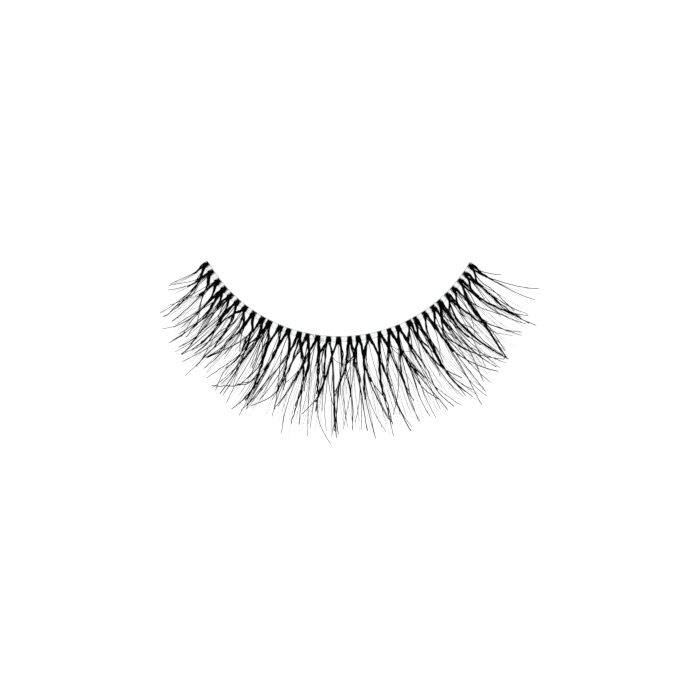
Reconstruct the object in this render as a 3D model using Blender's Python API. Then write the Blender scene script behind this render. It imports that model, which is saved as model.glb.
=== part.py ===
"""False eyelash strip: a clear band bent to the lid, with a row of knotted tufts of curled fibre.

Each tuft is a knot with two legs that cross the legs of its neighbours and part into locks.
Frame: +X along the strip, the lashes point to -Y and curl up to +Z, the band lies on z = 0.
"""

import math

import bpy
from mathutils import Vector

MM = 0.001

# Band
LINE_RADIUS = 15.36 * MM      # arc that the knots sit on, seen from above
KNOT_PITCH = 1.0 * MM         # from knot to knot along that arc
BAND_WIDTH = 0.66 * MM
BAND_THICKNESS = 0.20 * MM
BAND_INSET = 0.13 * MM        # the middle of the band lies this far inside the knot line
BAND_END = 16.55              # pitches from the middle of the strip to an end of the band
BAND_STEPS = 44               # straight runs that make up the arc of the band
BAND_TIP = 0.35 * MM          # length over which an end of the band narrows
BAND_TIP_SHARE = 0.55         # width of that end as a share of the band's

# Knots
KNOT_WIDTH = 0.54 * MM
KNOT_DEPTH = 0.64 * MM
KNOT_HEIGHT = 0.46 * MM
KNOT_CLEARANCE = 0.02 * MM    # between the band and the underside of a knot
KNOT_BACK_SHARE = 0.74        # back of a knot as a share of its full section
KNOT_FRONT_SHARE = 0.88       # front of a knot, where its legs leave
KNOT_WAIST = 0.35             # place of the full section, as a share of the depth from the back
LEG_ROOT_ACROSS = 0.25        # a leg's root, as a share of the knot's width from its middle
LEG_ROOT_LOW = 0.28           # root of the lower leg, as a share of the knot's height
LEG_ROOT_HIGH = 0.72          # root of the upper leg

# Legs and locks
LASH_REACH = 11.5 * MM        # from the knot line to the farthest tip, seen from above
LEG_WIDTH = 0.30 * MM
LEG_THICKNESS = 0.16 * MM
LOCK_WIDTH = 0.13 * MM
LOCK_THICKNESS = 0.10 * MM
LOCK_TIP = 0.05 * MM          # width and thickness of the end of a lock
LOCK_SHORTEST = 1.0 * MM      # from the split of a leg to the tip of a lock
FLOOR_CLEARANCE = 0.05 * MM   # under the belly of the lower legs
LAYER_RISE = 0.30 * MM        # from the lower legs up to the upper legs
BELLY_REACH = 2.1 * MM        # where a lash comes nearest the floor, from the knot line
CURL_RADIUS = 12.0 * MM       # of the rise from the belly to the tips

# Places on a leg, as shares of the lash reach
LEG_CHART = (0.13, 0.305, 0.52, 0.78)
SPLIT_SHARE = 0.205           # where a leg parts into its locks
SPREAD_SHARE = 0.45           # where the locks have spread over their room
LEG_STEPS = (0.30, 0.66)      # sections of a leg, as shares of the way to its split
LOCK_STEPS = 5                # sections of a lock

# Where the three locks of a leg end up, as shares of the room on each side of it
LOCK_SPREAD = (-0.58, 0.02, 0.56)

# Lengths of those three locks as shares of their leg's reach, in turn from tuft to tuft
LOCK_REACHES = (
    (0.91, 1.00, 0.83),
    (1.00, 0.87, 0.95),
    (0.84, 0.96, 1.00),
    (0.95, 0.82, 0.98),
)

# One row for each tuft, in pitches from the middle of the strip:
# the knot, the left leg at the four places of the chart, the right leg at the same four.
# Then the knot's width as a share of the full one, and each leg's reach as a share of the longest.
TUFTS = (
    (-16.22, (-16.06, -16.12, -16.32, -16.60), (-15.12, -14.48, -14.24, -14.12), 0.95, 0.39, 0.58),
    (-15.26, (-15.30, -15.42, -15.72, -16.00), (-14.14, -13.80, -13.60, -13.55), 0.95, 0.42, 0.55),
    (-14.06, (-14.16, -14.30, -14.52, -14.62), (-13.24, -13.02, -12.90, -13.05), 1.15, 0.58, 0.57),
    (-13.05, (-13.20, -13.02, -13.08, -13.58), (-12.30, -12.14, -12.06, -12.08), 1.10, 0.66, 0.57),
    (-12.10, (-12.36, -12.26, -12.34, -12.45), (-11.46, -11.42, -11.55, -11.64), 1.00, 0.70, 0.72),
    (-11.15, (-11.32, -11.04, -11.05, -11.25), (-10.46, -10.16, -10.02, -10.02), 1.00, 0.68, 0.84),
    (-10.15, (-10.80, -10.52, -10.60, -10.80), (-9.32, -9.32, -9.42, -9.38), 1.00, 0.76, 0.69),
    (-9.12, (-9.24, -9.46, -9.86, -9.95), (-8.36, -8.20, -8.28, -8.22), 1.00, 0.66, 0.74),
    (-8.06, (-8.28, -8.84, -9.10, -9.05), (-7.48, -7.60, -7.66, -7.66), 1.05, 0.76, 0.82),
    (-7.26, (-7.46, -7.56, -7.62, -7.66), (-6.60, -6.76, -6.90, -7.04), 1.05, 0.82, 0.86),
    (-6.06, (-6.48, -6.42, -6.36, -6.46), (-5.62, -5.62, -5.94, -6.10), 1.10, 0.90, 0.95),
    (-5.16, (-5.56, -5.76, -5.90, -5.96), (-4.58, -4.44, -4.42, -4.30), 1.00, 0.81, 0.84),
    (-4.04, (-4.38, -4.90, -5.30, -5.48), (-3.48, -3.02, -3.04, -3.28), 1.05, 0.80, 0.86),
    (-3.20, (-3.62, -4.10, -4.32, -4.20), (-2.78, -2.52, -2.48, -2.52), 0.85, 0.84, 0.92),
    (-2.14, (-2.78, -3.18, -3.66, -3.42), (-1.78, -1.72, -1.56, -1.68), 1.05, 1.00, 0.88),
    (-1.04, (-1.74, -2.06, -2.30, -2.38), (-0.64, -0.44, -0.38, -0.24), 1.00, 0.83, 0.98),
    (-0.04, (-0.62, -1.10, -1.44, -1.62), (0.30, 0.18, 0.12, 0.44), 1.00, 0.90, 0.84),
    (1.06, (0.72, 0.30, -0.14, -0.18), (1.34, 1.48, 1.62, 1.70), 0.90, 0.87, 0.94),
    (1.92, (1.44, 1.04, 0.86, 0.92), (2.24, 2.12, 2.10, 2.14), 0.95, 0.89, 1.00),
    (2.96, (2.36, 2.28, 2.36, 2.30), (3.46, 3.64, 3.80, 3.96), 0.90, 0.95, 1.00),
    (4.12, (3.74, 3.26, 3.16, 3.14), (4.58, 4.66, 4.84, 4.78), 0.75, 0.98, 0.91),
    (5.14, (4.58, 4.04, 3.84, 3.76), (5.48, 5.72, 6.04, 6.20), 0.90, 0.88, 0.93),
    (6.08, (5.56, 5.06, 4.94, 4.84), (6.34, 6.58, 6.70, 6.80), 0.95, 0.90, 0.92),
    (7.30, (6.52, 6.08, 6.10, 5.76), (7.34, 7.46, 7.72, 7.86), 1.12, 0.86, 0.89),
    (8.04, (7.54, 7.42, 7.52, 7.64), (8.12, 8.14, 8.36, 8.74), 0.80, 0.86, 0.96),
    (9.12, (8.40, 8.12, 7.98, 8.34), (9.18, 9.24, 9.48, 9.94), 0.90, 1.00, 0.84),
    (10.18, (9.36, 9.32, 9.20, 9.06), (10.22, 10.12, 10.22, 10.52), 1.00, 0.93, 0.78),
    (11.04, (10.20, 10.08, 10.14, 9.66), (10.92, 10.80, 11.14, 11.42), 1.05, 0.85, 0.80),
    (12.14, (11.14, 11.14, 11.20, 11.02), (12.14, 12.28, 12.16, 12.02), 0.95, 0.80, 0.82),
    (13.04, (12.12, 11.92, 11.72, 11.48), (13.08, 13.24, 13.12, 13.34), 0.95, 0.74, 0.75),
    (14.12, (13.14, 12.60, 12.24, 12.02), (14.04, 13.96, 14.30, 14.24), 1.00, 0.74, 0.79),
    (15.00, (14.08, 13.84, 13.82, 13.62), (14.90, 14.98, 14.90, 14.86), 0.90, 0.70, 0.67),
    (16.02, (14.98, 14.66, 14.38, 14.24), (15.88, 15.92, 16.06, 16.36), 1.00, 0.75, 0.65),
)

BAND_COLOUR = (0.86, 0.87, 0.88, 1.0)
FIBRE_COLOUR = (0.006, 0.006, 0.007, 1.0)
SHARP_EDGE = 50.0             # degrees between faces that are not shaded as one


def clear_scene():
    """Remove whatever objects and meshes the file holds."""
    for item in list(bpy.data.objects):
        bpy.data.objects.remove(item, do_unlink=True)
    for mesh in list(bpy.data.meshes):
        bpy.data.meshes.remove(mesh)


def make_material(name, colour, roughness, alpha):
    """A Principled material with a plain colour."""
    material = bpy.data.materials.new(name)
    material.use_nodes = True
    shader = material.node_tree.nodes["Principled BSDF"]
    shader.inputs["Base Color"].default_value = colour
    shader.inputs["Roughness"].default_value = roughness
    shader.inputs["Alpha"].default_value = alpha
    return material


def on_strip(station, reach, height):
    """Point at a place along the knot line, a reach outward from it and a height."""
    angle = station / LINE_RADIUS
    radius = LINE_RADIUS + reach
    return Vector((radius * math.sin(angle), LINE_RADIUS - radius * math.cos(angle), height))


def smooth(share):
    """Ease from 0 to 1."""
    share = min(1.0, max(0.0, share))
    return share * share * (3.0 - 2.0 * share)


def follow(places, values, at):
    """Smooth curve through the values at the places, straight on beyond both ends."""
    last = len(places) - 1
    slopes = []
    for index in range(last + 1):
        before = max(0, index - 1)
        after = min(last, index + 1)
        slopes.append((values[after] - values[before]) / (places[after] - places[before]))
    if at <= places[0]:
        return values[0] + slopes[0] * (at - places[0])
    if at >= places[last]:
        return values[last] + slopes[last] * (at - places[last])
    index = max(k for k in range(last) if places[k] <= at)
    run = places[index + 1] - places[index]
    share = (at - places[index]) / run
    ease = smooth(share)
    pull = share * (1.0 - share) * run
    start = slopes[index] * (1.0 - share) * pull
    end = slopes[index + 1] * share * pull
    return values[index] * (1.0 - ease) + values[index + 1] * ease + start - end


def curl_height(reach, root_height, belly_height):
    """Height of a lash: down from its knot to the belly, then up an arc to the tip."""
    if reach < BELLY_REACH:
        start = KNOT_DEPTH / 2
        share = (BELLY_REACH - reach) / (BELLY_REACH - start)
        return belly_height + (root_height - belly_height) * share * share
    sine = min(0.95, (reach - BELLY_REACH) / CURL_RADIUS)
    return belly_height + CURL_RADIUS * (1.0 - math.sqrt(1.0 - sine * sine))


class Body:
    """Vertices and faces of one closed body."""

    def __init__(self):
        self.points = []
        self.faces = []

    def add(self, point):
        """Add a vertex and give its number."""
        self.points.append(point)
        return len(self.points) - 1

    def ring(self, points):
        """Add a row of vertices and give their numbers."""
        return [self.add(point) for point in points]

    def wall(self, first, second):
        """Faces between two rings of equal count."""
        count = len(first)
        for index in range(count):
            after = (index + 1) % count
            self.faces.append((first[index], first[after], second[after], second[index]))

    def make(self, name, material, shift):
        """Make the object."""
        mesh = bpy.data.meshes.new(name)
        mesh.from_pydata([tuple(point + shift) for point in self.points], [], self.faces)
        mesh.validate()
        mesh.update()
        mesh.materials.append(material)
        mesh.shade_smooth()
        mesh.set_sharp_from_angle(angle=math.radians(SHARP_EDGE))
        item = bpy.data.objects.new(name, mesh)
        bpy.context.scene.collection.objects.link(item)
        return item


def band_body():
    """Clear film: a flat strip of one thickness, bent in its own plane, narrower at its ends."""
    body = Body()
    half = BAND_END * KNOT_PITCH
    tip = BAND_TIP
    stations = [-half]
    for step in range(BAND_STEPS + 1):
        stations.append(-half + tip + 2.0 * (half - tip) * step / BAND_STEPS)
    stations.append(half)
    rings = []
    for station in stations:
        at_end = abs(station) > half - tip / 2
        width = BAND_WIDTH * (BAND_TIP_SHARE if at_end else 1.0)
        inner = -BAND_INSET - width / 2
        outer = -BAND_INSET + width / 2
        rings.append(body.ring((
            on_strip(station, inner, 0.0),
            on_strip(station, outer, 0.0),
            on_strip(station, outer, BAND_THICKNESS),
            on_strip(station, inner, BAND_THICKNESS),
        )))
    for first, second in zip(rings, rings[1:]):
        body.wall(second, first)
    body.faces.append(tuple(rings[0]))
    body.faces.append(tuple(reversed(rings[-1])))
    return body


def knot_grid(station, reach, width, height, base):
    """Three by three points of an upright section through a knot, from lower left to upper right."""
    rows = []
    for up in (0.0, 0.5, 1.0):
        row = []
        for across in (-0.5, 0.0, 0.5):
            row.append(on_strip(station + across * width, reach, base + up * height))
        rows.append(row)
    return rows


def leg_station(knot, side, places, reach):
    """Place of a leg along the strip at some reach, or of its neighbour's."""
    across = LEG_ROOT_ACROSS * KNOT_WIDTH * KNOT_FRONT_SHARE
    reaches = [KNOT_DEPTH / 2] + [share * LASH_REACH for share in LEG_CHART]
    stations = [knot * KNOT_PITCH + (across if side == 1 else -across)]
    stations += [place * KNOT_PITCH for place in places]
    return follow(reaches, stations, reach)


def leg_room(number, side, reach):
    """Half the way to the same leg of the tuft before and of the tuft after."""
    own = TUFTS[number]
    here = leg_station(own[0], side, own[1 + side], reach)
    rooms = []
    for step in (-1, 1):
        other = number + step
        if 0 <= other < len(TUFTS):
            row = TUFTS[other]
            there = leg_station(row[0], side, row[1 + side], reach)
            rooms.append(abs(there - here) / 2)
        else:
            rooms.append(KNOT_PITCH / 2)
    return rooms


def section(centre, ahead, width, thickness, columns):
    """Points round an oblong across a path: along its underside, then back along its top."""
    across = ahead.cross(Vector((0.0, 0.0, 1.0))).normalized()
    upward = across.cross(ahead).normalized()
    shares = [column / (columns - 1) - 0.5 for column in range(columns)]
    low = [centre + across * width * -share - upward * thickness / 2 for share in shares]
    high = [centre + across * width * -share + upward * thickness / 2 for share in shares]
    return low + list(reversed(high))


def add_leg(body, number, side, root):
    """A leg from its four root vertices to the split, then its three locks to their tips."""
    row = TUFTS[number]
    root_share = LEG_ROOT_HIGH if side == 1 else LEG_ROOT_LOW
    root_height = BAND_THICKNESS + KNOT_CLEARANCE + KNOT_HEIGHT * root_share
    belly = FLOOR_CLEARANCE + LEG_THICKNESS / 2 + LAYER_RISE * side
    reach_end = row[4 + side] * LASH_REACH

    def at(reach, offset):
        station = leg_station(row[0], side, row[1 + side], reach) + offset
        return on_strip(station, reach, curl_height(reach, root_height, belly))

    def heading(reach, offset_before, offset_after):
        return (at(reach + nudge, offset_after) - at(reach - nudge, offset_before)).normalized()

    split = SPLIT_SHARE * LASH_REACH
    start = KNOT_DEPTH / 2
    nudge = LEG_THICKNESS / 2
    previous = root
    for share in LEG_STEPS:
        reach = start + (split - start) * share
        points = section(at(reach, 0.0), heading(reach, 0.0, 0.0), LEG_WIDTH, LEG_THICKNESS, 2)
        ring = body.ring(points)
        body.wall(previous, ring)
        previous = ring
    points = section(at(split, 0.0), heading(split, 0.0, 0.0), LEG_WIDTH, LEG_THICKNESS, 4)
    wide = body.ring(points)
    low_a, low_b, high_b, high_a = previous
    body.faces.append((low_a, low_b, wide[3], wide[2], wide[1], wide[0]))
    body.faces.append((low_b, high_b, wide[4], wide[3]))
    body.faces.append((high_b, high_a, wide[7], wide[6], wide[5], wide[4]))
    body.faces.append((high_a, low_a, wide[0], wide[7]))

    for lock in range(3):
        cell = [wide[lock], wide[lock + 1], wide[6 - lock], wide[7 - lock]]
        from_side = (lock - 1) * LEG_WIDTH / 3
        reach_shares = LOCK_REACHES[(number + side) % len(LOCK_REACHES)]
        end = max(reach_end * reach_shares[lock], split + LOCK_SHORTEST)

        def offset_at(reach):
            rooms = leg_room(number, side, reach)
            share = LOCK_SPREAD[lock]
            goal = share * (rooms[0] if share < 0 else rooms[1])
            eased = smooth((reach - split) / (SPREAD_SHARE * LASH_REACH - split))
            return from_side * (1.0 - eased) + goal * eased

        previous = cell
        for step in range(1, LOCK_STEPS + 1):
            share = step / LOCK_STEPS
            reach = split + (end - split) * share
            taper = share * share
            width = LOCK_WIDTH + (LOCK_TIP - LOCK_WIDTH) * taper
            thickness = LOCK_THICKNESS + (LOCK_TIP - LOCK_THICKNESS) * taper
            ahead = heading(reach, offset_at(reach - nudge), offset_at(reach + nudge))
            ring = body.ring(section(at(reach, offset_at(reach)), ahead, width, thickness, 2))
            body.wall(previous, ring)
            previous = ring
        body.faces.append(tuple(previous))


def tuft_body(number):
    """A knot on the band with its two legs."""
    row = TUFTS[number]
    around = ((0, 0), (0, 1), (0, 2), (1, 2), (2, 2), (2, 1), (2, 0), (1, 0))
    body = Body()
    knot = row[0] * KNOT_PITCH
    full = KNOT_WIDTH * row[3]
    base = BAND_THICKNESS + KNOT_CLEARANCE
    back = -KNOT_DEPTH / 2
    sections = (
        (back, KNOT_BACK_SHARE),
        (back + KNOT_WAIST * KNOT_DEPTH, 1.0),
        (KNOT_DEPTH / 2, KNOT_FRONT_SHARE),
    )
    rings = []
    for reach, share in sections:
        height = KNOT_HEIGHT * share
        low = base + (KNOT_HEIGHT - height) / 2
        grid = knot_grid(knot, reach, full * share, height, low)
        numbers = {}
        for up, across in around:
            numbers[(up, across)] = body.add(grid[up][across])
        rings.append(numbers)
    front = rings[-1]
    front[(1, 1)] = body.add(grid[1][1])
    for first, second in zip(rings, rings[1:]):
        body.wall([first[key] for key in around], [second[key] for key in around])
    body.faces.append(tuple(rings[0][key] for key in reversed(around)))
    body.faces.append((front[(0, 1)], front[(0, 2)], front[(1, 2)], front[(1, 1)]))
    body.faces.append((front[(1, 0)], front[(1, 1)], front[(2, 1)], front[(2, 0)]))
    lower_left = [front[(0, 0)], front[(0, 1)], front[(1, 1)], front[(1, 0)]]
    upper_right = [front[(1, 1)], front[(1, 2)], front[(2, 2)], front[(2, 1)]]
    add_leg(body, number, 0, lower_left)
    add_leg(body, number, 1, upper_right)
    return body


def main():
    """Build the band and the tufts about the middle of their common box."""
    clear_scene()
    clear_film = make_material("clear_film", BAND_COLOUR, 0.2, 0.35)
    black_fibre = make_material("black_fibre", FIBRE_COLOUR, 0.45, 1.0)
    bodies = [("band", band_body(), clear_film)]
    for number in range(len(TUFTS)):
        bodies.append((f"tuft_{number + 1:02d}", tuft_body(number), black_fibre))
    points = [point for entry in bodies for point in entry[1].points]
    middle_x = (min(point.x for point in points) + max(point.x for point in points)) / 2
    middle_y = (min(point.y for point in points) + max(point.y for point in points)) / 2
    shift = Vector((-middle_x, -middle_y, 0.0))
    for name, body, material in bodies:
        body.make(name, material, shift)


main()
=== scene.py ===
"""Dresses the false eyelash strip: clear film, tied knots and single curled fibres.

Every tuft keeps the place, legs and reach that its solid has, and is drawn fibre by fibre.
"""

import math
import random

import bpy
import numpy as np
from bpy.props import FloatProperty, FloatVectorProperty, PointerProperty
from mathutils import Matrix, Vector


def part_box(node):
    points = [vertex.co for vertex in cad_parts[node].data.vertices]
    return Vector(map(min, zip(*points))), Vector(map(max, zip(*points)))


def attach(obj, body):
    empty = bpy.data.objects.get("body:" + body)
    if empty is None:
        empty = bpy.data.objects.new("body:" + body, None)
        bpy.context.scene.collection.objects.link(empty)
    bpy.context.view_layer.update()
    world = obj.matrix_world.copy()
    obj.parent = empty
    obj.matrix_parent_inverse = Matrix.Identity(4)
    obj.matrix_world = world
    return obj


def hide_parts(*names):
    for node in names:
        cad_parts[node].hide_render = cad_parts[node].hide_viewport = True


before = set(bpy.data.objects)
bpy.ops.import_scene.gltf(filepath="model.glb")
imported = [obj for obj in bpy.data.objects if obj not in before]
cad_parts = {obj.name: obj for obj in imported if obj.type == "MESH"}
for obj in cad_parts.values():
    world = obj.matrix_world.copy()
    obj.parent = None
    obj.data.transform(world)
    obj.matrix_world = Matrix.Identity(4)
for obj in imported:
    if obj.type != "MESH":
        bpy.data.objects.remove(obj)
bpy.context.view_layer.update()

bl_info = {
    "name": "Strip Lash Dresser",
    "version": (1, 0, 0),
    "blender": (4, 5, 0),
    "location": "View3D > Sidebar > Strip Lash",
    "description": "Builds the clear band, the knots and the fibres of a false eyelash strip",
    "category": "Object",
}

MM = 0.001

# Sizes that the strip shares with its solids
LINE_RADIUS = 15.36 * MM
KNOT_PITCH = 1.0 * MM
BAND_WIDTH = 0.66 * MM
BAND_THICKNESS = 0.20 * MM
BAND_INSET = 0.13 * MM
BAND_END = 16.55
KNOT_WIDTH = 0.54 * MM
KNOT_DEPTH = 0.64 * MM
KNOT_HEIGHT = 0.46 * MM
KNOT_CLEARANCE = 0.02 * MM
LASH_REACH = 11.5 * MM
LEG_THICKNESS = 0.16 * MM
LEG_ROOT_ACROSS = 0.22
LEG_ROOT_LOW = 0.28
LEG_ROOT_HIGH = 0.72
FLOOR_CLEARANCE = 0.05 * MM
LAYER_RISE = 0.30 * MM
BELLY_REACH = 2.1 * MM
CURL_RADIUS = 12.0 * MM

# Places on a leg, as shares of the lash reach
LEG_CHART = (0.13, 0.305, 0.52, 0.78)

# Where the three locks of a leg end up, as shares of the room on each side of it
LOCK_SPREAD = (-0.58, 0.02, 0.56)

# Lengths of those three locks as shares of their leg's reach, in turn from tuft to tuft
LOCK_REACHES = (
    (0.91, 1.00, 0.83),
    (1.00, 0.87, 0.95),
    (0.84, 0.96, 1.00),
    (0.95, 0.82, 0.98),
)

# One row for each tuft, in pitches from the middle of the strip:
# the knot, the left leg at the four places of the chart, the right leg at the same four.
# Then the knot's width as a share of the full one, and each leg's reach as a share of the longest.
TUFTS = (
    (-16.22, (-16.06, -16.12, -16.32, -16.60), (-15.12, -14.48, -14.24, -14.12), 0.95, 0.39, 0.58),
    (-15.26, (-15.30, -15.42, -15.72, -16.00), (-14.14, -13.80, -13.60, -13.55), 0.95, 0.42, 0.55),
    (-14.06, (-14.16, -14.30, -14.52, -14.62), (-13.24, -13.02, -12.90, -13.05), 1.15, 0.58, 0.57),
    (-13.05, (-13.20, -13.02, -13.08, -13.58), (-12.30, -12.14, -12.06, -12.08), 1.10, 0.66, 0.57),
    (-12.10, (-12.36, -12.26, -12.34, -12.45), (-11.46, -11.42, -11.55, -11.64), 1.00, 0.70, 0.72),
    (-11.15, (-11.32, -11.04, -11.05, -11.25), (-10.46, -10.16, -10.02, -10.02), 1.00, 0.68, 0.84),
    (-10.15, (-10.80, -10.52, -10.60, -10.80), (-9.32, -9.32, -9.42, -9.38), 1.00, 0.76, 0.69),
    (-9.12, (-9.24, -9.46, -9.86, -9.95), (-8.36, -8.20, -8.28, -8.22), 1.00, 0.66, 0.74),
    (-8.06, (-8.28, -8.84, -9.10, -9.05), (-7.48, -7.60, -7.66, -7.66), 1.05, 0.76, 0.82),
    (-7.26, (-7.46, -7.56, -7.62, -7.66), (-6.60, -6.76, -6.90, -7.04), 1.05, 0.82, 0.86),
    (-6.06, (-6.48, -6.42, -6.36, -6.46), (-5.62, -5.62, -5.94, -6.10), 1.10, 0.90, 0.95),
    (-5.16, (-5.56, -5.76, -5.90, -5.96), (-4.58, -4.44, -4.42, -4.30), 1.00, 0.81, 0.84),
    (-4.04, (-4.38, -4.90, -5.30, -5.48), (-3.48, -3.02, -3.04, -3.28), 1.05, 0.80, 0.86),
    (-3.20, (-3.62, -4.10, -4.32, -4.20), (-2.78, -2.52, -2.48, -2.52), 0.85, 0.84, 0.92),
    (-2.14, (-2.78, -3.18, -3.66, -3.42), (-1.78, -1.72, -1.56, -1.68), 1.05, 1.00, 0.88),
    (-1.04, (-1.74, -2.06, -2.30, -2.38), (-0.64, -0.44, -0.38, -0.24), 1.00, 0.83, 0.98),
    (-0.04, (-0.62, -1.10, -1.44, -1.62), (0.30, 0.18, 0.12, 0.44), 1.00, 0.90, 0.84),
    (1.06, (0.72, 0.30, -0.14, -0.18), (1.34, 1.48, 1.62, 1.70), 0.90, 0.87, 0.94),
    (1.92, (1.44, 1.04, 0.86, 0.92), (2.24, 2.12, 2.10, 2.14), 0.95, 0.89, 1.00),
    (2.96, (2.36, 2.28, 2.36, 2.30), (3.46, 3.64, 3.80, 3.96), 0.90, 0.95, 1.00),
    (4.12, (3.74, 3.26, 3.16, 3.14), (4.58, 4.66, 4.84, 4.78), 0.75, 0.98, 0.91),
    (5.14, (4.58, 4.04, 3.84, 3.76), (5.48, 5.72, 6.04, 6.20), 0.90, 0.88, 0.93),
    (6.08, (5.56, 5.06, 4.94, 4.84), (6.34, 6.58, 6.70, 6.80), 0.95, 0.90, 0.92),
    (7.30, (6.52, 6.08, 6.10, 5.76), (7.34, 7.46, 7.72, 7.86), 1.12, 0.86, 0.89),
    (8.04, (7.54, 7.42, 7.52, 7.64), (8.12, 8.14, 8.36, 8.74), 0.80, 0.86, 0.96),
    (9.12, (8.40, 8.12, 7.98, 8.34), (9.18, 9.24, 9.48, 9.94), 0.90, 1.00, 0.84),
    (10.18, (9.36, 9.32, 9.20, 9.06), (10.22, 10.12, 10.22, 10.52), 1.00, 0.93, 0.78),
    (11.04, (10.20, 10.08, 10.14, 9.66), (10.92, 10.80, 11.14, 11.42), 1.05, 0.85, 0.80),
    (12.14, (11.14, 11.14, 11.20, 11.02), (12.14, 12.28, 12.16, 12.02), 0.95, 0.80, 0.82),
    (13.04, (12.12, 11.92, 11.72, 11.48), (13.08, 13.24, 13.12, 13.34), 0.95, 0.74, 0.75),
    (14.12, (13.14, 12.60, 12.24, 12.02), (14.04, 13.96, 14.30, 14.24), 1.00, 0.74, 0.79),
    (15.00, (14.08, 13.84, 13.82, 13.62), (14.90, 14.98, 14.90, 14.86), 0.90, 0.70, 0.67),
    (16.02, (14.98, 14.66, 14.38, 14.24), (15.88, 15.92, 16.06, 16.36), 1.00, 0.75, 0.65),
)

# Place of the strip: the arc of knots is centred on the band, which the frame gives
BAND_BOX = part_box("band")
LINE_SHIFT_X = (BAND_BOX[0][0] + BAND_BOX[1][0]) / 2
LINE_SHIFT_Y = BAND_BOX[0][1] + BAND_WIDTH / 2 - BAND_INSET

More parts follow.
